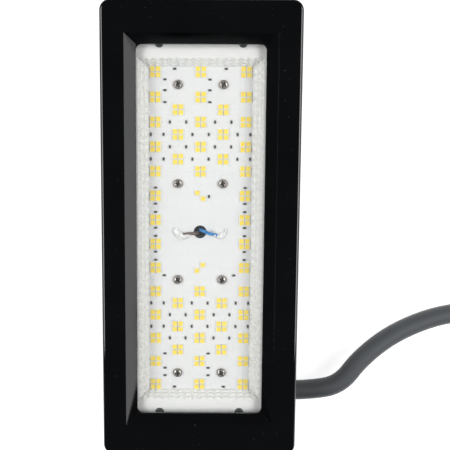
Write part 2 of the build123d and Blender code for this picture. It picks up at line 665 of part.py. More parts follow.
# ---- free cord ----------------------------------------------------------------------
LEAD_POINTS = [
    (GLAND_END_X, GLAND_Y, GLAND_Z),
    (68.0, GLAND_Y, GLAND_Z),
    (88.5, -97.8, 15.2),
    (101.1, -82.1, 13.2),
    (123.7, -65.6, 9.6),
    (155.7, -54.0, 6.9),
    (189.5, -53.0, 6.1),
    (227.0, -54.6, 6.0),
    (254.0, -58.6, 6.0),
    (277.1, -62.8, 6.0),
]
TAIL_POINTS = [
    (COIL_X + 64.6, COIL_Y - 13.7, 16.4),
    (COIL_X + 67.5, COIL_Y + 14.1, 17.6),
    (COIL_X + 64.0, COIL_Y + 40.9, 19.0),
    (COIL_X + 53.4, COIL_Y + 64.6, 19.3),
    (COIL_X + 37.0, COIL_Y + 83.5, 19.3),
    (COIL_X + 16.7, COIL_Y + 96.2, 19.2),
    (PLUG_START_X + 22.0, PLUG_Y, PLUG_Z),
    (PLUG_START_X, PLUG_Y, PLUG_Z),
]


def cord_tube(name, points):
    radii = bent_radii(points, RUN_SHARE)
    solid = tube(points, radii, CORD_D / 2)
    length = FilletPolyline(*points, radius=radii).length
    section = math.pi * CORD_D ** 2 / 4
    print(name, "radii", [round(r, 1) for r in radii], "length", round(length, 1),
          "volume over section times length", round(solid.volume / (section * length), 4))
    return solid


def cord_coil():
    """Outer shape of the coil: two turns side by side and one in the groove on top."""
    half = CORD_D
    top = CORD_D * (1 + math.sin(math.radians(60)))
    low_r, high_r = COIL_R - half, COIL_R + half
    outline = [(low_r, 3), (low_r + 3, 0), (high_r - 3, 0), (high_r, 3), (high_r, CORD_D - 3),
               (COIL_R + half / 2, top), (COIL_R - half / 2, top), (low_r, CORD_D - 3)]
    section = Plane.XZ * make_face(Polyline(*outline, close=True))
    return Pos(COIL_X, COIL_Y, 0) * revolve(section, Axis.Z)


# ---- plug ---------------------------------------------------------------------------
def towards_plug(sketch, start, length):
    """Bar along the plug's axis, which runs towards -X from the cord's end."""
    return Pos(PLUG_START_X - start, PLUG_Y, PLUG_Z) * (Rot(0, -90, 0) * extrude(sketch, length))


def plug_boot():
    cone = Cone(CORD_D / 2 + 0.6, BOOT_R, BOOT_L)
    return Pos(PLUG_START_X - BOOT_L / 2, PLUG_Y, PLUG_Z) * (Rot(0, -90, 0) * cone)


def plug_body():
    cone = Rot(0, -90, 0) * Cone(BOOT_R + 1.5, PLUG_R, PLUG_GRIP_L)
    body = Pos(PLUG_START_X - BOOT_L - PLUG_GRIP_L / 2, PLUG_Y, PLUG_Z) * cone
    body += towards_plug(Circle(PLUG_R), BOOT_L + PLUG_GRIP_L, PLUG_L - PLUG_GRIP_L)
    for side in (-1, 1):
        body -= Pos(0, side * PIN_SPACING / 2, 0) * towards_plug(
            Circle(PIN_R), BOOT_L + PLUG_L - PIN_SINK, PIN_SINK + 1)
        body -= slab(17, 7, PLUG_Z - 3.2, PLUG_Z + 3.2, 0, PLUG_START_X - BOOT_L - PLUG_L + 8,
                     PLUG_Y + side * (PLUG_R + 1.4))
    return body


def plug_pins():
    pin = towards_plug(Circle(PIN_R), BOOT_L + PLUG_L - PIN_SINK, PIN_SINK + PIN_L)
    pin = fillet(pin.edges().group_by(Axis.X)[0], 1.6)
    return group(Pos(0, side * PIN_SPACING / 2, 0) * pin for side in (-1, 1))


def plug_earth_clips():
    clip = slab(15, 1.0, PLUG_Z - 2.2, PLUG_Z + 2.2)
    start = PLUG_START_X - BOOT_L - PLUG_L + 8
    return group(Pos(start, PLUG_Y + side * (PLUG_R - 1.6), 0) * clip for side in (-1, 1))


# ---- yoke and its pivots ------------------------------------------------------------
def pivot_bolts():
    shank_l = PIVOT_SINK - 0.5 + WASHER_T + YOKE_T + 2 * SIDE_PLAY + SPRING_T
    head_y = PIVOT_FACE_Y + WASHER_T + YOKE_T + 2 * SIDE_PLAY + SPRING_T
    bolt = along_y(Circle(PIVOT_R - THREAD_PLAY), 0, head_y - shank_l, PIVOT_Z, shank_l)
    head = along_y(hexagon(BOLT_HEAD_AF), 0, head_y, PIVOT_Z, BOLT_HEAD_H)
    bolt = bolt + chamfer(head.edges().group_by(Axis.Y)[-1], 0.5)
    return group([bolt, Rot(0, 0, 180) * bolt])


def pivot_washers(start, thickness):
    ring = along_y(Circle(WASHER_R) - Circle(PIVOT_R), 0, start, PIVOT_Z, thickness)
    return group([ring, Rot(0, 0, 180) * ring])


def yoke_base():
    """Flat bar with both ends bent, folded towards -X in line with the back of the lamp."""
    span = 2 * (ARM_Y + YOKE_T)
    low, high = PIVOT_Z - YOKE_W / 2, PIVOT_Z + YOKE_W / 2
    outer = slab(YOKE_REACH, span, low, high, 0, -YOKE_REACH / 2, 0)
    outer = fillet(outer.edges().filter_by(Axis.Z).group_by(Axis.X)[0], YOKE_BEND_R)
    inner = slab(YOKE_REACH, span - 2 * YOKE_T, 0, DEPTH, 0, -YOKE_REACH / 2 + YOKE_T, 0)
    inner = fillet(inner.edges().filter_by(Axis.Z).group_by(Axis.X)[0], YOKE_BEND_R - YOKE_T)
    body = outer - inner
    body -= slab(YOKE_REACH, span + 1, 0, DEPTH, 0, YOKE_BEND_R - YOKE_REACH / 2, 0)
    start = -YOKE_REACH - 1
    body -= along_x(Circle(YOKE_CENTRE_R), start, 0, PIVOT_Z, YOKE_T + 2)
    for side in (-1, 1):
        body -= along_x(Circle(YOKE_HOLE_R), start, side * YOKE_HOLE_SPACING / 2, PIVOT_Z, YOKE_T + 2)
    return body


def yoke_arms():
    """The two arms of the same bar, from the bends to the pivots."""
    length = YOKE_REACH - YOKE_BEND_R
    arm = slab(length, YOKE_T, PIVOT_Z - YOKE_W / 2, PIVOT_Z + YOKE_W / 2, 0, -length / 2, ARM_Y + YOKE_T / 2)
    arm += along_y(Circle(YOKE_W / 2), 0, ARM_Y, PIVOT_Z, YOKE_T)
    arm -= along_y(Circle(PIVOT_R - THREAD_PLAY + PIVOT_RUN), 0, ARM_Y - 1, PIVOT_Z, YOKE_T + 2)
    return group([arm, Pos(0, -2 * ARM_Y - YOKE_T, 0) * arm])


def main():
    os.makedirs("parts", exist_ok=True)
    save(front_frame(), "front_frame")
    save(glass(), "glass")
    save(glass_gasket(), "glass_gasket")
    save(glass_seat(), "glass_seat")
    save(reflector(), "reflector")
    save(reflector_screws(), "reflector_screws")
    save(led_board(), "led_board")
    save(led_packages(), "led_packages")
    save(board_resistors(), "board_resistors")
    save(board_screws(), "board_screws")
    save(thermal_pad(), "thermal_pad")
    save(wire_grommet(), "wire_grommet")
    for name, side, drop_y in (("brown", -1, -0.6), ("blue", 1, 0.6)):
        lead = wire(side, drop_y)
        save(lead, "wire_" + name)
        save(silicone(side, lead), "silicone_" + name)
    save(tray(), "tray")
    save(heat_sink(), "heat_sink")
    save(frame_screws(), "frame_screws")
    save(driver_cover(), "driver_cover")
    save(cover_gasket(), "cover_gasket")
    save(cover_screws(), "cover_screws")
    save(driver_board(), "driver_board")
    save(driver_screws(), "driver_screws")
    save(driver_transformer(), "driver_transformer")
    save(driver_capacitors(), "driver_capacitors")
    save(driver_choke(), "driver_choke")
    save(driver_film_capacitor(), "driver_film_capacitor")
    save(terminal_block(), "terminal_block")
    for index, name in enumerate(("brown", "blue", "earth")):
        save(inner_core(index), "core_" + name)
    save(gland_ring(), "gland_ring")
    save(gland_body(), "gland_body")
    save(gland_seal(), "gland_seal")
    save(gland_nut(), "gland_nut")
    save(cord_inner(), "cord_inner")
    save(cord_tube("lead", LEAD_POINTS), "cord_lead")
    save(cord_coil(), "cord_coil")
    save(cord_tube("tail", TAIL_POINTS), "cord_tail")
    save(plug_boot(), "plug_boot")
    save(plug_body(), "plug_body")
    save(plug_pins(), "plug_pins")
    save(plug_earth_clips(), "plug_earth_clips")
    save(pivot_bolts(), "pivot_bolts")
    save(pivot_washers(PIVOT_FACE_Y, WASHER_T), "friction_washers")
    save(pivot_washers(ARM_Y + YOKE_T + SIDE_PLAY, SPRING_T), "spring_washers")
    save(yoke_base(), "yoke_base")
    save(yoke_arms(), "yoke_arms")


main()
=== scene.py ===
import bpy
import json
import math
from mathutils import Matrix, Quaternion, Vector

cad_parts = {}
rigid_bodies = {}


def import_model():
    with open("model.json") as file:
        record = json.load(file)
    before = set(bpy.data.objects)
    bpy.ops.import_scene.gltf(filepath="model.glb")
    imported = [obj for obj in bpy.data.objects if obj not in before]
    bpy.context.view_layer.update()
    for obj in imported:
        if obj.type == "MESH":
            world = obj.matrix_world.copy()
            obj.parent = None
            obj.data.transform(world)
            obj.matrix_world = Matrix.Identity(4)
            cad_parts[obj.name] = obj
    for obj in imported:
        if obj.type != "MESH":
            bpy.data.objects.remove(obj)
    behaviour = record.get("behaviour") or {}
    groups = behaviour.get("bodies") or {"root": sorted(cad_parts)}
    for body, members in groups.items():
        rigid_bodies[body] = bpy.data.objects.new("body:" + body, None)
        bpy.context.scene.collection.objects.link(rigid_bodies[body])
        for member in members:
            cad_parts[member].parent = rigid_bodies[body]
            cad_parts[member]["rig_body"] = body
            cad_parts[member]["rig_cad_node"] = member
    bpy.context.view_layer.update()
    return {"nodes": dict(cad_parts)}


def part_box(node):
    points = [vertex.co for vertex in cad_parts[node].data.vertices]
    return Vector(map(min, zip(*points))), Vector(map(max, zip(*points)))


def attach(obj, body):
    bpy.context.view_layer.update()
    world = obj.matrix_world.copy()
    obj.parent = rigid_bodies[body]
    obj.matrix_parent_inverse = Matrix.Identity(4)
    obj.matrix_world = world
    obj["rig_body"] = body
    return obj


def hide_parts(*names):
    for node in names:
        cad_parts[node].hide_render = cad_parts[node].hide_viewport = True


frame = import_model()
bpy.ops.object.select_all(action="DESELECT")

# Studio: the lamp lies on its back on a pale table and is seen from straight above, a
# little towards its +Y end. A long low strip light stands on the right, two softboxes hang
# at the sides, and the air right above stays dark, so the black enamel stays black.
studio = bpy.context.scene
studio.view_settings.view_transform = "Standard"

camera = bpy.data.objects.new("camera", bpy.data.cameras.new("camera"))
studio.collection.objects.link(camera)
studio.camera = camera
camera.data.lens = 52.56
camera.data.shift_x = 0.072
camera.data.shift_y = 0.0147
camera.data.clip_start = 0.01
camera.location = (-0.00434, 0.04206, 0.41527)
camera.rotation_mode = "QUATERNION"
camera.rotation_quaternion = Quaternion((1, 0, 0), -0.110) @ Quaternion((0, 0, 1), 0.004)

bpy.ops.mesh.primitive_plane_add(size=6.0, location=(0, 0, 0))
table = bpy.context.object
table.name = "table"
table_paint = bpy.data.materials.new("table_paint")
table_paint.use_nodes = True
table_shader = table_paint.node_tree.nodes["Principled BSDF"]
table_shader.inputs["Base Color"].default_value = (0.45, 0.45, 0.45, 1)
table_shader.inputs["Roughness"].default_value = 0.9
table_shader.inputs["Emission Color"].default_value = (1, 1, 1, 1)
table_shader.inputs["Emission Strength"].default_value = 0.85
table.data.materials.append(table_paint)

air = bpy.data.worlds.new("air")
air.use_nodes = True
air.node_tree.nodes["Background"].inputs["Color"].default_value = (0.95, 0.97, 1.0, 1)
air.node_tree.nodes["Background"].inputs["Strength"].default_value = 0.06
studio.world = air


def softbox(name, place, aim, width, height, watts):
    lamp = bpy.data.lights.new(name, "AREA")
    lamp.shape = "RECTANGLE"
    lamp.size = width
    lamp.size_y = height
    lamp.energy = watts
    holder = bpy.data.objects.new(name, lamp)
    studio.collection.objects.link(holder)
    holder.location = place
    holder.rotation_mode = "QUATERNION"
    holder.rotation_quaternion = (Vector(aim) - Vector(place)).to_track_quat("-Z", "Y")


softbox("left_softbox", (-1.25, 0.1, 1.35), (0, 0, 0), 1.4, 1.0, 31)
softbox("right_softbox", (1.25, 0.1, 1.35), (0, 0, 0), 1.4, 1.0, 31)
softbox("low_right_strip", (1.2, 0.0, 0.20), (0, 0, 0.05), 1.6, 0.34, 3.4)


# Supply cord: heavy rubber-sheathed three-core flex, 12 mm thick. It leaves the gland at
# the right of the lamp, drops to the table and is put away in a round coil that ends in
# the moulded plug.
CORD_D = 0.012
COIL_X, COIL_Y, COIL_R = 0.290, 0.008, 0.066
lead = [(0.057, -0.1019, 0.0154), (0.068, -0.1019, 0.0154), (0.0885, -0.0988, 0.0152),
        (0.1011, -0.0821, 0.0132), (0.1237, -0.0656, 0.0096), (0.1557, -0.0540, 0.0069),
        (0.1895, -0.0530, 0.0061), (0.2270, -0.0546, 0.0060), (0.2540, -0.0586, 0.0060),
        (0.2771, -0.0628, 0.0060)]
tail = [(COIL_X + 0.0646, COIL_Y - 0.0137, 0.0164), (COIL_X + 0.0675, COIL_Y + 0.0141, 0.0176),
        (COIL_X + 0.0640, COIL_Y + 0.0409, 0.0190), (COIL_X + 0.0534, COIL_Y + 0.0646, 0.0193),
        (COIL_X + 0.0370, COIL_Y + 0.0835, 0.0193), (COIL_X + 0.0167, COIL_Y + 0.0962, 0.0192),
        (COIL_X - 0.0055, COIL_Y + 0.1022, 0.0192), (COIL_X - 0.0275, COIL_Y + 0.1022, 0.0192)]
TURNS, TURN_STEPS = 3, 16
FIRST, LAST = math.radians(-100.3), math.radians(-12.0 + TURNS * 360)
STACK_RISE = 0.0104
SPLINE_CUT = 1.012
coil_turns = []
steps = int((LAST - FIRST) / (2 * math.pi) * TURN_STEPS)
# The second turn closes in beside the first, the third climbs onto the seam between them.
# A spline runs a little inside its points, so they stand SPLINE_CUT times further out.
for i in range(1, steps):
    angle = FIRST + (LAST - FIRST) * i / steps
    turn = (angle - FIRST) / (2 * math.pi)
    inward = min(max((turn - 0.90) / 0.30, 0), 1)
    upward = min(max((turn - 1.85) / 0.35, 0), 1)
    inward = inward * inward * (3 - 2 * inward)
    upward = upward * upward * (3 - 2 * upward)
    reach = COIL_R + CORD_D / 2 - CORD_D * inward + CORD_D / 2 * upward
    reach *= SPLINE_CUT
    lift = CORD_D / 2 + STACK_RISE * upward
    coil_turns.append((COIL_X + reach * math.cos(angle), COIL_Y + reach * math.sin(angle), lift))
route = lead + coil_turns + tail

flex = bpy.data.curves.new("supply_cord", "CURVE")
flex.dimensions = "3D"
flex.resolution_u = 6
# The bevel is one metre deep, and each point's own radius scales it down to the cord's.
# The curve's box counts those radii, so it is the cord's own box.
flex.bevel_depth = 1.0
flex.bevel_resolution = 6
flex.use_fill_caps = True
line = flex.splines.new("NURBS")
line.points.add(len(route) - 1)
for point, place in zip(line.points, route):
    point.co = (*place, 1)
    point.radius = CORD_D / 2
line.order_u = 3
line.use_endpoint_u = True
supply_cord = bpy.data.objects.new("supply_cord", flex)
studio.collection.objects.link(supply_cord)
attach(supply_cord, "lamp")
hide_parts("cord_lead", "cord_coil", "cord_tail")


# Front frame: die-cast aluminium ring in high-gloss black enamel, one piece with its
# sloping rim. The sprayed enamel softens every edge, and a little dust shows on it.
def bare_material(name, colour, roughness, metallic=0.0):
    paint = bpy.data.materials.new(name)
    paint.use_nodes = True
    shader = paint.node_tree.nodes["Principled BSDF"]
    shader.inputs["Base Color"].default_value = (*colour, 1)
    shader.inputs["Roughness"].default_value = roughness
    shader.inputs["Metallic"].default_value = metallic
    return paint, paint.node_tree, shader


def place_group(tree, group, shader, values, outputs):
    holder = tree.nodes.new("ShaderNodeGroup")
    holder.node_tree = group
    for socket, value in values.items():
        holder.inputs[socket].default_value = value
    for output, target in outputs.items():
        tree.links.new(holder.outputs[output], shader.inputs[target])


def group_tree(name, inputs, outputs):
    tree = bpy.data.node_groups.new(name, "ShaderNodeTree")
    for label, kind, value in inputs:
        socket = tree.interface.new_socket(label, in_out="INPUT", socket_type=kind)
        socket.default_value = value
    for label, kind in outputs:
        tree.interface.new_socket(label, in_out="OUTPUT", socket_type=kind)
    return tree, tree.nodes.new("NodeGroupInput"), tree.nodes.new("NodeGroupOutput")


def mottle_group():
    """Uneven finish: a fine noise moves the colour, the gloss and the surface a little."""
    tree, inside, outside = group_tree(
        "mottled_finish",
        [("Color", "NodeSocketColor", (0.5, 0.5, 0.5, 1)),
         ("Dust Color", "NodeSocketColor", (0.6, 0.6, 0.6, 1)),
         ("Variation", "NodeSocketFloat", 0.1), ("Roughness", "NodeSocketFloat", 0.4),
         ("Scale", "NodeSocketFloat", 300.0), ("Dust", "NodeSocketFloat", 0.0),
         ("Relief", "NodeSocketFloat", 0.1)],
        [("Color", "NodeSocketColor"), ("Roughness", "NodeSocketFloat"), ("Normal", "NodeSocketVector")])
    link = tree.links.new
    place = tree.nodes.new("ShaderNodeTexCoord")
    grain = tree.nodes.new("ShaderNodeTexNoise")
    grain.inputs["Detail"].default_value = 4.0
    link(place.outputs["Object"], grain.inputs["Vector"])
    link(inside.outputs["Scale"], grain.inputs["Scale"])
    patches = tree.nodes.new("ShaderNodeTexNoise")
    patches.inputs["Scale"].default_value = 35.0
    patches.inputs["Detail"].default_value = 3.0
    link(place.outputs["Object"], patches.inputs["Vector"])
    drift = tree.nodes.new("ShaderNodeMath")
    drift.operation = "SUBTRACT"
    drift.inputs[1].default_value = 0.5
    link(patches.outputs["Fac"], drift.inputs[0])
    amount = tree.nodes.new("ShaderNodeMath")
    amount.operation = "MULTIPLY_ADD"
    amount.inputs[2].default_value = 1.0
    link(drift.outputs[0], amount.inputs[0])
    link(inside.outputs["Variation"], amount.inputs[1])
    tint = tree.nodes.new("ShaderNodeVectorMath")
    tint.operation = "SCALE"
    link(inside.outputs["Color"], tint.inputs[0])
    link(amount.outputs[0], tint.inputs["Scale"])
    specks = tree.nodes.new("ShaderNodeTexNoise")
    specks.inputs["Scale"].default_value = 900.0
    specks.inputs["Detail"].default_value = 2.0
    link(place.outputs["Object"], specks.inputs["Vector"])
    pick = tree.nodes.new("ShaderNodeMapRange")
    pick.inputs["From Min"].default_value = 0.74
    pick.inputs["From Max"].default_value = 0.82
    link(specks.outputs["Fac"], pick.inputs["Value"])
    dusty = tree.nodes.new("ShaderNodeMath")
    dusty.operation = "MULTIPLY"
    link(pick.outputs["Result"], dusty.inputs[0])
    link(inside.outputs["Dust"], dusty.inputs[1])
    cover = tree.nodes.new("ShaderNodeMix")
    cover.data_type = "RGBA"
    link(dusty.outputs[0], cover.inputs["Factor"])
    link(tint.outputs[0], cover.inputs["A"])
    link(inside.outputs["Dust Color"], cover.inputs["B"])
    link(cover.outputs["Result"], outside.inputs["Color"])
    gloss = tree.nodes.new("ShaderNodeMath")
    gloss.operation = "MULTIPLY_ADD"
    gloss.inputs[1].default_value = 0.25
    link(drift.outputs[0], gloss.inputs[0])
    link(inside.outputs["Roughness"], gloss.inputs[2])
    rough = tree.nodes.new("ShaderNodeMath")
    rough.operation = "MULTIPLY_ADD"
    rough.inputs[1].default_value = 0.4
    rough.use_clamp = True
    link(dusty.outputs[0], rough.inputs[0])
    link(gloss.outputs[0], rough.inputs[2])
    link(rough.outputs[0], outside.inputs["Roughness"])
    bump = tree.nodes.new("ShaderNodeBump")
    bump.inputs["Distance"].default_value = 0.0003
    link(inside.outputs["Relief"], bump.inputs["Strength"])
    link(grain.outputs["Fac"], bump.inputs["Height"])
    link(bump.outputs["Normal"], outside.inputs["Normal"])
    return tree


mottled_finish = mottle_group()
ALL_THREE = {"Color": "Base Color", "Roughness": "Roughness", "Normal": "Normal"}


def mottled(name, colour, roughness, metallic=0.0, variation=0.25, scale=400.0, relief=0.1, dust=0.0,
            dust_colour=(0.5, 0.5, 0.5), also=()):
    paint, tree, shader = bare_material(name, colour, roughness, metallic)
    place_group(tree, mottled_finish, shader,
                {"Color": (*colour, 1), "Dust Color": (*dust_colour, 1), "Variation": variation,
                 "Roughness": roughness, "Scale": scale, "Dust": dust, "Relief": relief}, ALL_THREE)
    for socket, value in also:
        shader.inputs[socket].default_value = value
    return paint


def dress(piece, *paints):
    piece.data.materials.clear()
    for paint in paints:
        piece.data.materials.append(paint)


def only(piece):
    """Selects one piece and nothing else, and makes it the active one."""
    bpy.ops.object.select_all(action="DESELECT")
    piece.select_set(True)
    bpy.context.view_layer.objects.active = piece


def apply_all(piece):
    bpy.context.view_layer.objects.active = piece
    for modifier in list(piece.modifiers):
        bpy.ops.object.modifier_apply(modifier=modifier.name)


def copy_of_node(name, new_name):
    """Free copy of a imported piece, with its loose triangles joined into whole faces."""
    piece = frame["nodes"][name].copy()
    piece.data = frame["nodes"][name].data.copy()
    piece.name = new_name
    piece.parent = None
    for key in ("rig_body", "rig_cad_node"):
        del piece[key]
    studio.collection.objects.link(piece)
    only(piece)
    bpy.ops.object.mode_set(mode="EDIT")
    bpy.ops.mesh.select_all(action="SELECT")
    bpy.ops.mesh.remove_doubles(threshold=0.000002)
    bpy.ops.mesh.dissolve_limited(angle_limit=math.radians(0.5))
    bpy.ops.object.mode_set(mode="OBJECT")
    bpy.ops.mesh.customdata_custom_splitnormals_clear()
    return piece


def break_edges(piece, width, segments, degrees=40):
    """Narrow round along every edge sharper than the given angle."""
    edge = piece.modifiers.new("edge", "BEVEL")
    edge.width = width
    edge.segments = segments
    edge.limit_method = "ANGLE"
    edge.angle_limit = math.radians(degrees)
    apply_all(piece)


def smooth(piece, degrees=35):
    """Smooth shading on curved stretches, with the flat faces kept flat."""
    only(piece)
    bpy.ops.object.shade_smooth_by_angle(angle=math.radians(degrees))
    flat = piece.modifiers.new("flat_faces", "WEIGHTED_NORMAL")
    flat.keep_sharp = True
    flat.weight = 100
    apply_all(piece)


def settle(piece, body, slot, *nodes):
    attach(piece, body)
    if nodes:
        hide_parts(*nodes)


enamel_frame = copy_of_node("front_frame", "enamel_frame")
break_edges(enamel_frame, 0.00035, 3, 32)
smooth(enamel_frame, 30)
dress(enamel_frame, mottled("black_enamel", (0.0018, 0.0020, 0.0024), 0.085, variation=0.5, scale=60.0,
                            relief=0.05, dust=0.30, dust_colour=(0.22, 0.23, 0.24)))
settle(enamel_frame, "lamp", "frame_black", "front_frame")


# Cover glass: tempered low-iron pane, 3 mm, ground on its edges. It only shows as a faint
# sheen over the board, and its edge is hidden under the frame.
clear_glass, glass_tree, glass_shader = bare_material("clear_glass", (0.93, 0.96, 0.95), 0.03)
glass_fresnel = glass_tree.nodes.new("ShaderNodeFresnel")
glass_fresnel.inputs["IOR"].default_value = 1.30
glass_haze = glass_tree.nodes.new("ShaderNodeTexNoise")
glass_haze.inputs["Scale"].default_value = 40.0
glass_haze.inputs["Detail"].default_value = 3.0
glass_place = glass_tree.nodes.new("ShaderNodeTexCoord")
glass_film = glass_tree.nodes.new("ShaderNodeMath")
glass_film.operation = "MULTIPLY_ADD"
glass_film.inputs[1].default_value = 0.01
glass_tree.links.new(glass_place.outputs["Object"], glass_haze.inputs["Vector"])
glass_tree.links.new(glass_haze.outputs["Fac"], glass_film.inputs[0])
glass_tree.links.new(glass_fresnel.outputs["Fac"], glass_film.inputs[2])
glass_tree.links.new(glass_film.outputs[0], glass_shader.inputs["Alpha"])
dress(frame["nodes"]["glass"], clear_glass)


# Seals: thin rings of black silicone foam, cut from sheet. One lies over the pane, one
# under it, and one under the cover of the driver box.
seal_foam = mottled("silicone_foam", (0.012, 0.012, 0.012), 0.7, scale=900.0, relief=0.3)
for name in ("glass_gasket", "glass_seat", "cover_gasket"):
    dress(frame["nodes"][name], seal_foam)


# Reflector: white ABS moulding with a flat flange under the glass and four leaning walls
# with rows of small facets moulded into them. Its screw heads sit in round recesses.
FACETS_HIGH = 3
FACET_PITCH = 0.0044
FACET_PUSH = 0.0009
FLANGE_X, FLANGE_Y = 0.004, 0.008
rim_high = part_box("reflector")[1]
board_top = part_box("led_board")[1].z
top_corners = [v.co for v in frame["nodes"]["reflector"].data.vertices if v.co.z > rim_high.z - 1e-5]
mouth = [co for co in top_corners
         if abs(co.x) < rim_high.x - FLANGE_X and abs(co.y) < rim_high.y - FLANGE_Y]
mouth_x = max(abs(co.x) for co in mouth)
mouth_y = max(abs(co.y) for co in mouth)
reflector_shell = copy_of_node("reflector", "faceted_reflector")


def pick_faces(piece, wanted):
    """Edit mode with only the faces selected whose centre and normal satisfy a test."""
    only(piece)
    bpy.ops.object.mode_set(mode="EDIT")
    bpy.ops.mesh.select_mode(type="FACE")
    bpy.ops.mesh.select_all(action="DESELECT")
    bpy.ops.object.mode_set(mode="OBJECT")
    for face in piece.data.polygons:
        face.select = wanted(face.center, face.normal)
    bpy.ops.object.mode_set(mode="EDIT")


def on_wall(centre, normal):
    """A face of the four leaning walls, seen from inside."""
    inside = abs(centre.x) < mouth_x and abs(centre.y) < mouth_y
    return inside and 0.1 < normal.z < 0.95 and centre.x * normal.x + centre.y * normal.y < 0


def cut_walls(across, place, normal):
    pick_faces(reflector_shell, lambda c, n: on_wall(c, n) and (across is None or abs(n[across]) > 0.3))
    bpy.ops.mesh.bisect(plane_co=place, plane_no=normal)
    bpy.ops.object.mode_set(mode="OBJECT")


for across, half in ((0, mouth_y), (1, mouth_x)):
    count = round(2 * half / FACET_PITCH)
    for i in range(1, count):
        shift = half * (2 * i / count - 1)
        if across == 0:
            cut_walls(0, (0, shift, 0), (0, 1, 0))
        else:
            cut_walls(1, (shift, 0, 0), (1, 0, 0))
for i in range(1, FACETS_HIGH):
    level = board_top + (rim_high.z - board_top) * i / FACETS_HIGH
    cut_walls(None, (0, 0, level), (0, 0, 1))
pick_faces(reflector_shell, on_wall)
bpy.ops.mesh.poke(offset=FACET_PUSH)
bpy.ops.object.mode_set(mode="OBJECT")
bpy.ops.object.shade_flat()
dress(reflector_shell, mottled("white_abs", (0.80, 0.80, 0.79), 0.28, variation=0.03, scale=500.0,
                               relief=0.02))
settle(reflector_shell, "lamp", "reflector_white", "reflector")


# LED board: aluminium-core circuit board under white solder mask. The copper shows
# through the mask as very faint raised lines.
mask_white, mask_tree, mask_shader = bare_material("white_solder_mask", (0.8, 0.8, 0.8), 0.42)
mask_place = mask_tree.nodes.new("ShaderNodeTexCoord")
copper = mask_tree.nodes.new("ShaderNodeTexBrick")
copper.offset = 0.5
copper.inputs["Scale"].default_value = 1.0
copper.inputs["Brick Width"].default_value = 0.0129
copper.inputs["Row Height"].default_value = 0.007
copper.inputs["Mortar Size"].default_value = 0.00035
copper.inputs["Mortar Smooth"].default_value = 0.5
copper.inputs["Color1"].default_value = (0.755, 0.760, 0.765, 1)
copper.inputs["Color2"].default_value = (0.770, 0.772, 0.775, 1)
copper.inputs["Mortar"].default_value = (0.735, 0.740, 0.745, 1)
mask_tree.links.new(mask_place.outputs["Object"], copper.inputs["Vector"])
mask_tree.links.new(copper.outputs["Color"], mask_shader.inputs["Base Color"])
mask_bump = mask_tree.nodes.new("ShaderNodeBump")
mask_bump.inputs["Strength"].default_value = 0.15
mask_bump.inputs["Distance"].default_value = 0.00005
mask_bump.invert = True
mask_tree.links.new(copper.outputs["Fac"], mask_bump.inputs["Height"])
mask_tree.links.new(mask_bump.outputs["Normal"], mask_shader.inputs["Normal"])
mask_grain = mask_tree.nodes.new("ShaderNodeTexNoise")
mask_grain.inputs["Scale"].default_value = 250.0
mask_tree.links.new(mask_place.outputs["Object"], mask_grain.inputs["Vector"])
mask_gloss = mask_tree.nodes.new("ShaderNodeMapRange")
mask_gloss.inputs["To Min"].default_value = 0.36
mask_gloss.inputs["To Max"].default_value = 0.50
mask_tree.links.new(mask_grain.outputs["Fac"], mask_gloss.inputs["Value"])
mask_tree.links.new(mask_gloss.outputs["Result"], mask_shader.inputs["Roughness"])
dress(frame["nodes"]["led_board"], mask_white)


# LED packages: white moulded bodies, 3 mm square, each with a square well of yellow
# phosphor. They are soldered down in groups of four, with a few singles in the middle.
LED_SIDE, LED_PITCH, LED_H = 0.0030, 0.00335, 0.00065
WELL = 0.00018
grid_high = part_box("led_packages")[1]
MIDDLE_ROW = 13
grid_x = (grid_high.x - LED_PITCH / 2 - LED_SIDE / 2) / 2
grid_y = (grid_high.y - LED_PITCH / 2 - LED_SIDE / 2) / MIDDLE_ROW
led_white = mottled("led_moulding", (0.80, 0.80, 0.76), 0.35, variation=0.05, scale=900.0)
phosphor = mottled("yellow_phosphor", (0.95, 0.72, 0.085), 0.45, variation=0.12, scale=2500.0, relief=0.35)


def row_y(row):
    """Rows are counted from 0 at the top end of the board to 26 at the cord's end."""
    return (MIDDLE_ROW - row) * grid_y


bpy.ops.mesh.primitive_cube_add(size=1.0, location=(0, 0, board_top + LED_H / 2))
package = bpy.context.object
package.name = "package_master"
package.scale = (LED_SIDE, LED_SIDE, LED_H)
bpy.ops.object.transform_apply(location=True, rotation=False, scale=True)
dress(package, led_white, phosphor)
pick_faces(package, lambda centre, normal: normal.z > 0.9)
bpy.ops.mesh.inset(thickness=WELL, depth=0)
bpy.ops.mesh.inset(thickness=0.00005, depth=-0.00006)
package.active_material_index = 1
bpy.ops.object.material_slot_assign()
bpy.ops.object.mode_set(mode="OBJECT")

led_rows = [(column, row) for row in (0, 2, 4, 6, 8, 18, 20, 22, 24, 26) for column in (-2, 0, 2)]
led_rows += [(column, row) for row in (3, 5, 7, 19, 21, 23) for column in (-1, 1)]
led_rows += [(column, row) for row in (10, 12, 14, 16) for column in (-2, 2)]
led_places = [(column * grid_x + dx * LED_PITCH / 2, row_y(row) + dy * LED_PITCH / 2)
              for column, row in led_rows for dx in (-1, 1) for dy in (-1, 1)]
led_places += [(end * LED_PITCH / 2, row_y(row) + lean * end * LED_PITCH / 2)
               for row, lean in ((10, -1), (16, 1)) for end in (-1, 1)]


def join_pieces(pieces, name):
    bpy.ops.object.select_all(action="DESELECT")
    for piece in pieces:
        piece.select_set(True)
    bpy.context.view_layer.objects.active = pieces[0]
    bpy.ops.object.join()
    joined = bpy.context.object
    joined.name = name
    return joined


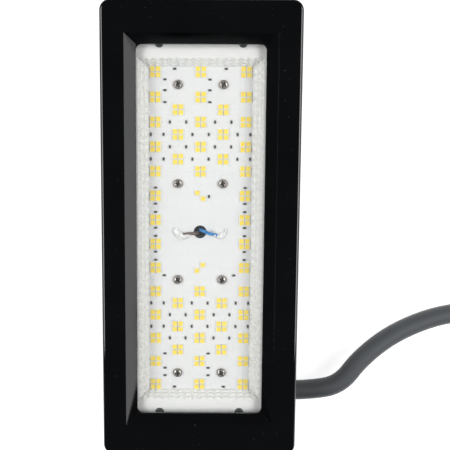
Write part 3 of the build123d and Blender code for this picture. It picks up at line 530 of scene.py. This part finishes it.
def spread(master, name, places, turned=False):
    """Copies of one small part at many places, joined into one piece."""
    copies = []
    for x, y in places:
        one = master.copy()
        one.data = master.data.copy()
        move = Matrix.Translation((x, y, 0))
        one.data.transform(move @ Matrix.Rotation(math.pi / 2, 4, "Z") if turned else move)
        studio.collection.objects.link(one)
        copies.append(one)
    return join_pieces(copies, name)


leds = spread(package, "led_array", led_places)
bpy.data.objects.remove(package)
settle(leds, "lamp", "led_phosphor", "led_packages")


# Chip resistors: black ceramic chips with tinned ends, soldered flat beside the LEDs.
CHIP_L, CHIP_W, CHIP_H = 0.0022, 0.0012, 0.0005
CHIP_END = 0.00038
chip_black = mottled("chip_ceramic", (0.035, 0.035, 0.037), 0.45, variation=0.3, scale=1500.0)
tin = mottled("dull_tin", (0.42, 0.42, 0.42), 0.42, metallic=0.7, variation=0.2, scale=1500.0, relief=0.3)
bpy.ops.mesh.primitive_cube_add(size=1.0, location=(0, 0, board_top + CHIP_H / 2 - 0.00002))
chip = bpy.context.object
chip.name = "chip_master"
chip.scale = (CHIP_L - 2 * CHIP_END, CHIP_W * 0.94, CHIP_H * 0.9)
bpy.ops.object.transform_apply(location=True, rotation=False, scale=True)
dress(chip, chip_black, tin)
pick_faces(chip, lambda centre, normal: abs(normal.x) > 0.9)
bpy.ops.mesh.extrude_region_shrink_fatten(TRANSFORM_OT_shrink_fatten={"value": CHIP_END})
bpy.ops.object.mode_set(mode="OBJECT")
pick_faces(chip, lambda centre, normal: abs(centre.x) > CHIP_L / 2 - CHIP_END + 1e-5)
chip.active_material_index = 1
bpy.ops.object.material_slot_assign()
bpy.ops.object.mode_set(mode="OBJECT")
break_edges(chip, 0.00004, 1, 30)
BESIDE, OUTSIDE, BELOW = 0.00465, 0.0026, 0.00462
edge_x = 2 * grid_x
upright_places = [(column * grid_x + side * BESIDE, row_y(row))
                  for row in (4, 6, 20, 22) for column in (-1, 1) for side in (-1, 1)]
upright_places += [(side * x, row_y(row)) for row in (5, 7, 19, 21) for side in (-1, 1)
                   for x in (BESIDE, edge_x - BESIDE, edge_x + OUTSIDE)]
upright_places.append((0.005, 3 * grid_y - 0.0004))
side_ends = [row_y(row) + end * BELOW for row in (10, 12, 14, 16) for end in (1, -1)]
level_places = [(side * edge_x, y) for side in (-1, 1) for y in side_ends[:-1]]
level_places += [(column * grid_x, row_y(row)) for column in (-1.58, 0.40)
                 for row in (0.6, 1.45, 2.4, 23.35, 24.6, 25.25)]
level_places += [(column * grid_x, row_y(row)) for column in (-1.15, 1.11) for row in (-0.25, 26.25)]
level_places += [(column * grid_x, row_y(16.65)) for column in (-1.61, 1.54)]
level_chips = spread(chip, "level_chips", level_places)
upright_chips = spread(chip, "upright_chips", upright_places, turned=True)
bpy.data.objects.remove(chip)
settle(level_chips, "lamp", "chip_black", "board_resistors")
settle(upright_chips, "lamp", "chip_black")


# Screws: nickel-plated pan heads hold the board down, black ones hold the reflector, the
# frame and the cover, and zinc-plated ones the driver. They are headed and rolled steel.
def drawn_metal_group():
    """Bright metal with fine lines from drawing and turning along its length."""
    tree, inside, outside = group_tree(
        "drawn_metal",
        [("Color", "NodeSocketColor", (0.5, 0.5, 0.5, 1)), ("Roughness", "NodeSocketFloat", 0.3),
         ("Scale", "NodeSocketFloat", 1.0), ("Tarnish", "NodeSocketFloat", 0.3)],
        [("Color", "NodeSocketColor"), ("Roughness", "NodeSocketFloat"), ("Normal", "NodeSocketVector")])
    link = tree.links.new
    place = tree.nodes.new("ShaderNodeTexCoord")
    stretch = tree.nodes.new("ShaderNodeMapping")
    stretch.inputs["Scale"].default_value = (300.0, 2500.0, 2500.0)
    lines = tree.nodes.new("ShaderNodeTexNoise")
    link(inside.outputs["Scale"], lines.inputs["Scale"])
    lines.inputs["Detail"].default_value = 3.0
    spots = tree.nodes.new("ShaderNodeTexNoise")
    spots.inputs["Scale"].default_value = 420.0
    spots.inputs["Detail"].default_value = 4.0
    link(place.outputs["Object"], stretch.inputs["Vector"])
    link(stretch.outputs["Vector"], lines.inputs["Vector"])
    link(place.outputs["Object"], spots.inputs["Vector"])
    dull = tree.nodes.new("ShaderNodeMapRange")
    dull.inputs["From Min"].default_value = 0.45
    dull.inputs["From Max"].default_value = 0.70
    link(spots.outputs["Fac"], dull.inputs["Value"])
    share = tree.nodes.new("ShaderNodeMath")
    share.operation = "MULTIPLY"
    link(dull.outputs["Result"], share.inputs[0])
    link(inside.outputs["Tarnish"], share.inputs[1])
    dim = tree.nodes.new("ShaderNodeVectorMath")
    dim.operation = "MULTIPLY"
    dim.inputs[1].default_value = (0.45, 0.40, 0.36)
    link(inside.outputs["Color"], dim.inputs[0])
    mix = tree.nodes.new("ShaderNodeMix")
    mix.data_type = "RGBA"
    link(share.outputs[0], mix.inputs["Factor"])
    link(inside.outputs["Color"], mix.inputs["A"])
    link(dim.outputs[0], mix.inputs["B"])
    link(mix.outputs["Result"], outside.inputs["Color"])
    rough = tree.nodes.new("ShaderNodeMath")
    rough.operation = "MULTIPLY_ADD"
    rough.inputs[1].default_value = 0.35
    rough.use_clamp = True
    link(share.outputs[0], rough.inputs[0])
    link(inside.outputs["Roughness"], rough.inputs[2])
    link(rough.outputs[0], outside.inputs["Roughness"])
    bump = tree.nodes.new("ShaderNodeBump")
    bump.inputs["Strength"].default_value = 0.12
    bump.inputs["Distance"].default_value = 0.00005
    link(lines.outputs["Fac"], bump.inputs["Height"])
    link(bump.outputs["Normal"], outside.inputs["Normal"])
    return tree


drawn_metal = drawn_metal_group()


def drawn(name, colour, roughness, tarnish=0.3):
    paint, tree, shader = bare_material(name, colour, roughness, 1.0)
    place_group(tree, drawn_metal, shader,
                {"Color": (*colour, 1), "Roughness": roughness, "Tarnish": tarnish}, ALL_THREE)
    return paint


nickel = drawn("nickel_plate", (0.36, 0.33, 0.31), 0.30, 0.7)
black_steel = drawn("black_oxide_steel", (0.06, 0.06, 0.062), 0.38, 0.3)
bright_steel = drawn("zinc_plated_steel", (0.58, 0.58, 0.60), 0.30, 0.3)
brass_pin = drawn("nickelled_brass", (0.66, 0.63, 0.58), 0.20, 0.2)


def lathe(name, profile, axis, centre, steps=48):
    """Turned shape: a line of (along, out) stations spun once round an axis."""
    along = Vector(axis)
    out = Vector((1, 0, 0)) if abs(along.z) > 0.5 else Vector((0, 0, 1))
    bpy.ops.object.select_all(action="DESELECT")
    bpy.ops.mesh.primitive_plane_add(size=0.001, location=(0, 0, 0))
    piece = bpy.context.object
    piece.name = name
    bpy.ops.object.mode_set(mode="EDIT")
    bpy.ops.mesh.select_mode(type="VERT")
    bpy.ops.mesh.select_all(action="SELECT")
    bpy.ops.mesh.merge(type="CENTER")
    stations = [Vector(centre) + along * a + out * r for a, r in profile]
    bpy.ops.transform.translate(value=stations[0])
    for here, there in zip(stations, stations[1:]):
        bpy.ops.mesh.extrude_region_move(TRANSFORM_OT_translate={"value": there - here})
    bpy.ops.mesh.select_all(action="SELECT")
    bpy.ops.mesh.spin(steps=steps, angle=2 * math.pi, center=centre, axis=axis)
    bpy.ops.mesh.select_all(action="SELECT")
    bpy.ops.mesh.remove_doubles(threshold=0.00001)
    bpy.ops.mesh.normals_make_consistent(inside=False)
    bpy.ops.object.mode_set(mode="OBJECT")
    return piece


# Near-black paint for the screws' cross recesses: painted shade, standing for the shadow inside the slots.
recess_painted_shade = mottled("recess_shadow", (0.02, 0.018, 0.017), 0.6, metallic=0.5, scale=900.0)


def cross_screw(name, head_r, head_h, shank, slot_w, paint):
    """Pan head on a plain shank, standing on z = 0, with its cross recess pressed in and its faces painted
    near-black as painted shade.
    """
    head = lathe(name, [(-shank, 0), (-shank, 0.00145), (0, 0.00145), (0, head_r * 0.98),
                        (head_h * 0.12, head_r), (head_h * 0.42, head_r), (head_h * 0.68, head_r * 0.92),
                        (head_h * 0.88, head_r * 0.72), (head_h * 0.98, head_r * 0.45), (head_h, 0)],
                 (0, 0, 1), (0, 0, 0), 32)
    dress(head, paint)
    for turn in (0, math.pi / 2):
        bpy.ops.mesh.primitive_cube_add(size=1.0)
        tool = bpy.context.object
        dress(tool, recess_painted_shade)
        tool.data.transform(Matrix.Translation((0, 0, head_h)) @ Matrix.Rotation(turn + 0.5, 4, "Z") @
                            Matrix.Diagonal((head_r * 1.25, slot_w, head_h * 1.2, 1)))
        cut = head.modifiers.new("slot", "BOOLEAN")
        cut.operation = "DIFFERENCE"
        cut.solver = "EXACT"
        # The slot faces take the cutter's near-black paint: painted shade in the recess.
        cut.material_mode = "TRANSFER"
        cut.object = tool
        apply_all(head)
        bpy.data.objects.remove(tool)
    smooth(head, 40)
    return head


def place_screws(master, name, seats):
    """One joined piece from a master screw, set down on each seat with its own turn."""
    copies = []
    for i, (x, y, z) in enumerate(seats):
        one = master.copy()
        one.data = master.data.copy()
        turn = Matrix.Rotation(0.9 * i, 4, "Z")
        one.data.transform(Matrix.Translation((x, y, z)) @ turn)
        studio.collection.objects.link(one)
        copies.append(one)
    bpy.data.objects.remove(master)
    return join_pieces(copies, name)


SHANK_SHY = 0.0001
board_shank = board_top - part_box("board_screws")[0].z - SHANK_SHY
board_screw = cross_screw("board_screw_master", head_r=0.00268, head_h=0.0020, shank=board_shank,
                          slot_w=0.00085, paint=nickel)
board_seats = [(side * grid_x, row_y(row), board_top) for side in (-1, 1) for row in (1, 9, 17, 25)]
board_heads = place_screws(board_screw, "board_pan_screws", board_seats)
settle(board_heads, "lamp", "nickel_screw", "board_screws")

HEAD_R, HEAD_H = 0.0025, 0.0013
seat_low, seat_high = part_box("reflector_screws")
seat_x, seat_y, seat_z = seat_high.x - HEAD_R, seat_high.y - HEAD_R, seat_high.z - HEAD_H
reflector_screw = cross_screw("reflector_screw_master", head_r=0.00245, head_h=0.00125,
                              shank=seat_z - seat_low.z - SHANK_SHY, slot_w=0.0007, paint=black_steel)
reflector_seats = [(sx * seat_x, sy * seat_y, seat_z) for sx in (-1, 1) for sy in (-1, 1)]
reflector_heads = place_screws(reflector_screw, "reflector_pan_screws", reflector_seats)
settle(reflector_heads, "lamp", "black_screw", "reflector_screws")
for name in ("frame_screws", "cover_screws"):
    dress(frame["nodes"][name], black_steel)
dress(frame["nodes"]["driver_screws"], bright_steel)


# Wires and their seal: two PVC leads come up through a rubber grommet in the middle of the
# board and are soldered down beside it, under smears of clear silicone.
def lead_wire(name, route, radius):
    """Round wire along a smooth route, made a mesh."""
    curve = bpy.data.curves.new(name, "CURVE")
    curve.dimensions = "3D"
    curve.bevel_depth = radius
    curve.bevel_resolution = 3
    curve.resolution_u = 8
    curve.use_fill_caps = True
    spline = curve.splines.new("NURBS")
    spline.points.add(len(route) - 1)
    for point, place in zip(spline.points, route):
        point.co = (*place, 1)
    spline.order_u = 3
    spline.use_endpoint_u = True
    wire = bpy.data.objects.new(name, curve)
    studio.collection.objects.link(wire)
    only(wire)
    bpy.ops.object.convert(target="MESH")
    return bpy.context.object


WIRE_R = 0.00095
wire_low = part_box("wire_blue")[0].z + WIRE_R
blue_pvc = mottled("blue_pvc", (0.006, 0.19, 0.52), 0.32, variation=0.15, scale=900.0)
brown_pvc = mottled("brown_pvc", (0.12, 0.085, 0.075), 0.35, variation=0.2, scale=900.0)
blue_lead = lead_wire("blue_lead", [
    (0.0022, -0.019, wire_low), (0.0016, -0.009, wire_low + 0.001), (0.0004, -0.001, board_top - 0.010),
    (-0.0002, 0.0012, board_top - 0.0030), (0.0006, 0.0012, board_top + 0.0014),
    (0.0040, -0.0002, board_top + 0.0023), (0.0068, -0.0012, board_top + 0.0016),
    (0.0098, -0.0017, board_top + 0.0011)], WIRE_R)
brown_lead = lead_wire("brown_lead", [
    (-0.0022, -0.019, wire_low), (-0.0016, -0.009, wire_low + 0.001), (-0.0012, -0.001, board_top - 0.010),
    (-0.0012, -0.0006, board_top - 0.0030), (-0.0020, -0.0006, board_top + 0.0006),
    (-0.0042, -0.0008, board_top + 0.0020), (-0.0066, -0.0008, board_top + 0.0014),
    (-0.0098, -0.0014, board_top + 0.0011)], WIRE_R)
dress(blue_lead, blue_pvc)
dress(brown_lead, brown_pvc)
settle(blue_lead, "lamp", "wire_blue_pvc", "wire_blue")
settle(brown_lead, "lamp", "wire_brown_pvc", "wire_brown")

milky = mottled("clear_silicone", (0.80, 0.80, 0.79), 0.22, variation=0.12, scale=450.0, relief=0.35,
                also=(("Coat Weight", 0.5), ("Coat Roughness", 0.1), ("Alpha", 0.93)))


def silicone_smear(name, lumps):
    """Rounded lumps run together, as a bead squeezed from a nozzle and wiped."""
    balls = []
    for x, y, reach, wide, high in lumps:
        bpy.ops.mesh.primitive_uv_sphere_add(segments=20, ring_count=12, radius=1.0)
        ball = bpy.context.object
        ball.data.transform(Matrix.Translation((x, y, board_top + high * 0.25)) @
                            Matrix.Diagonal((reach, wide, high, 1)))
        balls.append(ball)
    smear = join_pieces(balls, name)
    merge = smear.modifiers.new("merge", "REMESH")
    merge.mode = "VOXEL"
    merge.voxel_size = 0.00025
    ripple_map = bpy.data.textures.new(name + "_ripple", "CLOUDS")
    ripple_map.noise_scale = 0.0022
    ripple = smear.modifiers.new("ripple", "DISPLACE")
    ripple.texture = ripple_map
    ripple.texture_coords = "LOCAL"
    ripple.strength = 0.0011
    ripple.mid_level = 0.5
    ease = smear.modifiers.new("ease", "SMOOTH")
    ease.iterations = 3
    apply_all(smear)
    bpy.ops.object.mode_set(mode="EDIT")
    bpy.ops.mesh.select_all(action="SELECT")
    bpy.ops.mesh.bisect(plane_co=(0, 0, board_top + 0.00002), plane_no=(0, 0, 1), clear_inner=True,
                        use_fill=True)
    bpy.ops.object.mode_set(mode="OBJECT")
    smooth(smear, 60)
    dress(smear, milky)
    return smear


left_smear = silicone_smear("left_silicone", [
    (-0.0145, 0.0006, 0.0015, 0.0019, 0.0013), (-0.0125, -0.0010, 0.0022, 0.0022, 0.0017),
    (-0.0098, -0.0026, 0.0026, 0.0019, 0.0019), (-0.0072, -0.0014, 0.0026, 0.0016, 0.0018),
    (-0.0112, -0.0038, 0.0018, 0.0011, 0.0010), (-0.0138, 0.0016, 0.0010, 0.0010, 0.0009)])
right_smear = silicone_smear("right_silicone", [
    (0.0086, -0.0017, 0.0022, 0.0013, 0.0017), (0.0112, -0.0024, 0.0022, 0.0014, 0.0016),
    (0.0134, -0.0014, 0.0018, 0.0018, 0.0014), (0.0150, 0.0004, 0.0010, 0.0015, 0.0010),
    (0.0078, 0.0010, 0.0013, 0.0008, 0.0008), (0.0120, -0.0036, 0.0014, 0.0007, 0.0008)])
settle(left_smear, "lamp", "silicone_white", "silicone_brown")
settle(right_smear, "lamp", "silicone_white", "silicone_blue")

moulded_rubber = mottled("moulded_rubber", (0.010, 0.010, 0.011), 0.55, scale=700.0, relief=0.2)
dress(frame["nodes"]["wire_grommet"], moulded_rubber)
pad_grey = mottled("thermal_pad_grey", (0.18, 0.19, 0.20), 0.7, scale=900.0, relief=0.3)
dress(frame["nodes"]["thermal_pad"], pad_grey)


# Tray, heat sink and cover: pressure die castings in grained black powder coat. The tray
# holds the board and the glass, the heat sink has the fins, the driver box and the pivots.
def softened(node, name, width, body, slot, *paints):
    """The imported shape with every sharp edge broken, as casting, bending and coating leave it."""
    piece = copy_of_node(node, name)
    break_edges(piece, width, 2)
    smooth(piece)
    dress(piece, *paints)
    settle(piece, body, slot, node)
    return piece


def powder_group():
    """Powder coat: tight orange peel from a cell pattern, with tone and gloss that drift with a broad noise.
    """
    tree, inside, outside = group_tree(
        "powder_coat",
        [("Color", "NodeSocketColor", (0.02, 0.02, 0.02, 1)), ("Roughness", "NodeSocketFloat", 0.45),
         ("Scale", "NodeSocketFloat", 900.0), ("Relief", "NodeSocketFloat", 0.4)],
        [("Color", "NodeSocketColor"), ("Roughness", "NodeSocketFloat"), ("Normal", "NodeSocketVector")])
    link = tree.links.new
    place = tree.nodes.new("ShaderNodeTexCoord")
    peel = tree.nodes.new("ShaderNodeTexVoronoi")
    peel.feature = "SMOOTH_F1"
    link(place.outputs["Object"], peel.inputs["Vector"])
    link(inside.outputs["Scale"], peel.inputs["Scale"])
    cloud = tree.nodes.new("ShaderNodeTexNoise")
    cloud.inputs["Scale"].default_value = 28.0
    cloud.inputs["Detail"].default_value = 5.0
    link(place.outputs["Object"], cloud.inputs["Vector"])
    spread_map = tree.nodes.new("ShaderNodeMapRange")
    spread_map.inputs["To Min"].default_value = 0.75
    spread_map.inputs["To Max"].default_value = 1.25
    link(cloud.outputs["Fac"], spread_map.inputs["Value"])
    tint = tree.nodes.new("ShaderNodeVectorMath")
    tint.operation = "SCALE"
    link(inside.outputs["Color"], tint.inputs[0])
    link(spread_map.outputs["Result"], tint.inputs["Scale"])
    link(tint.outputs[0], outside.inputs["Color"])
    gloss = tree.nodes.new("ShaderNodeMath")
    gloss.operation = "MULTIPLY_ADD"
    gloss.inputs[1].default_value = 0.15
    gloss.use_clamp = True
    link(cloud.outputs["Fac"], gloss.inputs[0])
    link(inside.outputs["Roughness"], gloss.inputs[2])
    link(gloss.outputs[0], outside.inputs["Roughness"])
    bump = tree.nodes.new("ShaderNodeBump")
    bump.inputs["Distance"].default_value = 0.00015
    link(inside.outputs["Relief"], bump.inputs["Strength"])
    link(peel.outputs["Distance"], bump.inputs["Height"])
    link(bump.outputs["Normal"], outside.inputs["Normal"])
    return tree


powder_coat = powder_group()


def powdered(name, colour, roughness, scale, relief):
    paint, tree, shader = bare_material(name, colour, roughness)
    place_group(tree, powder_coat, shader,
                {"Color": (*colour, 1), "Roughness": roughness, "Scale": scale, "Relief": relief}, ALL_THREE)
    return paint


casting_black = powdered("casting_powder_coat", (0.012, 0.012, 0.013), 0.38, 1100.0, 0.45)
for name in ("tray", "heat_sink", "driver_cover"):
    softened(name, "cast_" + name, 0.0003, "lamp", "housing_black", casting_black)


# Driver: circuit board on four pillars in the box, with a transformer, two electrolytic
# cans, a toroid choke, a film capacitor and a ceramic terminal block for the mains cores.
green_mask = mottled("green_solder_mask", (0.010, 0.11, 0.035), 0.35, variation=0.5, scale=350.0, relief=0.2)
ferrite = mottled("ferrite_and_tape", (0.035, 0.032, 0.03), 0.6, variation=0.4, scale=500.0, relief=0.3)
can_sleeve = mottled("capacitor_sleeve", (0.02, 0.03, 0.07), 0.3, variation=0.2, scale=600.0)
film_box = mottled("film_capacitor_box", (0.55, 0.36, 0.03), 0.4, variation=0.15, scale=600.0)
steatite = mottled("white_terminal_ceramic", (0.70, 0.68, 0.64), 0.5, variation=0.15, scale=500.0,
                   relief=0.3)
earth_pvc = mottled("green_yellow_pvc", (0.22, 0.42, 0.03), 0.4, variation=0.3, scale=300.0)
for name, paint in (("driver_board", green_mask), ("driver_transformer", ferrite), ("driver_choke", ferrite),
                    ("driver_capacitors", can_sleeve), ("driver_film_capacitor", film_box),
                    ("terminal_block", steatite), ("core_brown", brown_pvc), ("core_blue", blue_pvc),
                    ("core_earth", earth_pvc)):
    dress(frame["nodes"][name], paint)


# Cable gland: black nylon body and dome nut with a rubber seal that grips the sheath. The
# hexagons are moulded on, and the dome narrows down to the cord.
nylon = mottled("black_nylon", (0.014, 0.014, 0.015), 0.42, scale=800.0, relief=0.25)
softened("gland_body", "gland_thread_body", 0.0003, "lamp", "gland_plastic", nylon)
softened("gland_nut", "gland_dome_nut", 0.0004, "lamp", "gland_plastic", nylon)
dress(frame["nodes"]["gland_ring"], moulded_rubber)
dress(frame["nodes"]["gland_seal"], moulded_rubber)


# Cord sheath: matt grey-black neoprene with a powdery bloom. The plug on its end is hard
# rubber, with a ribbed sleeve that eases the bend where the cord goes in.
sheath = mottled("sheath_rubber", (0.048, 0.053, 0.058), 0.62, variation=0.35, scale=900.0, relief=0.30,
                 dust=0.12, dust_colour=(0.18, 0.19, 0.20),
                 also=(("Sheen Weight", 0.25), ("Sheen Roughness", 0.4)))
flex.materials.append(sheath)
dress(frame["nodes"]["cord_inner"], sheath)
hard_rubber = mottled("hard_plug_rubber", (0.016, 0.016, 0.017), 0.5, variation=0.3, scale=700.0,
                      relief=0.35, dust=0.1, dust_colour=(0.2, 0.2, 0.2))

boot_low, boot_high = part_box("plug_boot")
boot_y, boot_z = (boot_low.y + boot_high.y) / 2, (boot_low.z + boot_high.z) / 2
BOOT_THIN, BOOT_THICK, BOOT_RIBS = 0.0066, 0.0095, 7
GROOVE, BITE = 0.0011, 0.0004
PLAIN_END, RIBBED = 0.06, 0.80
boot_length = boot_high.x - boot_low.x
sleeve_profile = [(0, CORD_D / 2 - BITE), (0, BOOT_THIN)]
for i in range(BOOT_RIBS):
    start = boot_length * (PLAIN_END + RIBBED * i / BOOT_RIBS)
    reach = boot_length * RIBBED / BOOT_RIBS
    thick = BOOT_THIN + (BOOT_THICK - BOOT_THIN) * (start / boot_length)
    sleeve_profile += [(start, thick), (start + 0.12 * reach, thick - GROOVE),
                       (start + 0.38 * reach, thick - GROOVE), (start + 0.5 * reach, thick)]
sleeve_profile += [(boot_length, BOOT_THICK), (boot_length, CORD_D / 2 - BITE)]
bend_sleeve = lathe("bend_sleeve", sleeve_profile + sleeve_profile[:1], (-1, 0, 0),
                    (boot_high.x, boot_y, boot_z))
smooth(bend_sleeve, 50)
dress(bend_sleeve, hard_rubber)
settle(bend_sleeve, "lamp", "plug_rubber", "plug_boot")
plug_grip = softened("plug_body", "plug_grip", 0.0006, "lamp", "plug_rubber", hard_rubber)
dress(frame["nodes"]["plug_pins"], brass_pin)
dress(frame["nodes"]["plug_earth_clips"], brass_pin)


# Yoke: flat steel bar with both ends bent over, drilled for a hook or two bolts, in black
# powder coat. It turns on two M8 bolts over thin washers, under spring washers.
yoke_bar = copy_of_node("yoke_base", "yoke_bar")
arms = copy_of_node("yoke_arms", "yoke_arm_copies")
seam_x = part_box("yoke_base")[1].x
yoke_bar = join_pieces([yoke_bar, arms], "yoke_bar")
pick_faces(yoke_bar, lambda centre, normal: abs(centre.x - seam_x) < 0.00002 and abs(normal.x) > 0.99)
bpy.ops.mesh.delete(type="FACE")
bpy.ops.mesh.select_all(action="SELECT")
bpy.ops.mesh.remove_doubles(threshold=0.00002)
bpy.ops.mesh.dissolve_limited(angle_limit=math.radians(0.5))
bpy.ops.object.mode_set(mode="OBJECT")
break_edges(yoke_bar, 0.0005, 3)
smooth(yoke_bar)
dress(yoke_bar, powdered("yoke_powder_coat", (0.010, 0.010, 0.011), 0.36, 1300.0, 0.35))
settle(yoke_bar, "yoke", "yoke_paint", "yoke_base", "yoke_arms")
softened("pivot_bolts", "hex_bolts", 0.0003, "lamp", "bolt_steel", bright_steel)
dress(frame["nodes"]["friction_washers"], bright_steel)
dress(frame["nodes"]["spring_washers"], bright_steel)


bpy.context.view_layer.update()
